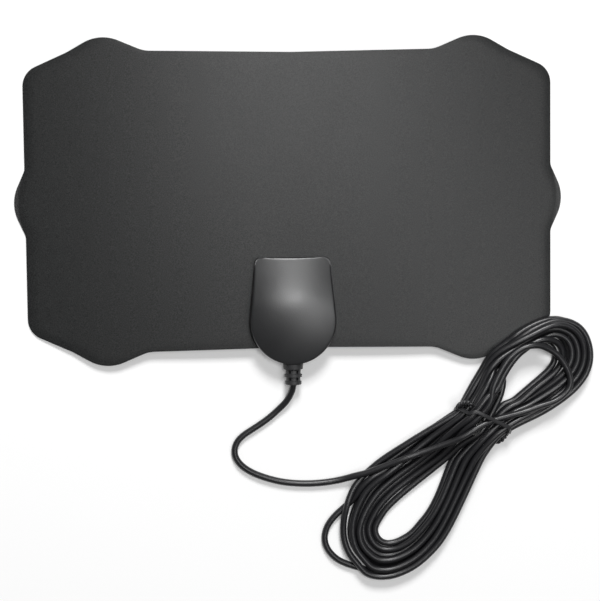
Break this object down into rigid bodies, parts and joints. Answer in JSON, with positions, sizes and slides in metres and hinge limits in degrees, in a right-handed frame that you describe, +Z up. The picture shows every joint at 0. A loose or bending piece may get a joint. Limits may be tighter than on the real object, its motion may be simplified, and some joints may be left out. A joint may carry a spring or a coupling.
{
  "type": "indoor television antenna",
  "caption": "Flat indoor television antenna: a thin wavy-edged bendable sheet with a domed housing on its lower edge and a coaxial lead tied in a hank.",
  "frame": {"origin": "On the table, under the middle of the antenna's bounding box (sheet, housing and strain relief, without the lead).", "axes": "+Z up, out of the sheet's front; +Y along the sheet from the housing's edge to the far long edge; +X to the right seen from the front. The antenna lies on its back."},
  "size_m": [0.3493, 0.3303, 0.018],
  "materials": {
    "sheet_front": "finely textured matt black film with a pale speckle",
    "sheet_back": "smooth matt black film",
    "foil": "bright foil",
    "housing_front": "satin moulded ABS with a fine grain",
    "housing_back": "satin moulded ABS",
    "board": "green solder mask",
    "contact_metal": "plated",
    "ferrite": "matt ferrite",
    "copper_wire": "enamelled copper",
    "chips": "chip capacitors",
    "relief_rubber": "soft black PVC",
    "cable_jacket": "semi-gloss black PVC",
    "braid": "tinned braid",
    "insulation": "white polyethylene",
    "tie_plastic": "black coated wire tie",
    "grip_plastic": "moulded black PVC",
    "plug_metal": "nickel plated"
  },
  "bodies": {
    "root": {"front_film": "sheet_front", "back_film": "sheet_back", "radiator_left": "foil", "radiator_right": "foil", "front_cover": "housing_front", "rear_cover": "housing_back", "circuit_board": "board", "contact_left": "contact_metal", "contact_right": "contact_metal", "balun_core": "ferrite", "balun_winding": "copper_wire", "chip_components": "chips", "strain_relief": "relief_rubber", "cable_tail": "cable_jacket", "cable_braid": "braid", "cable_insulation": "insulation", "cable_conductor": "copper_wire", "cable_lead": "cable_jacket", "cable_hank": "cable_jacket", "twist_tie": "tie_plastic", "plug_grip": "grip_plastic", "plug_shell": "plug_metal", "plug_insulator": "insulation", "plug_pin": "plug_metal"}
  },
  "joints": []
}
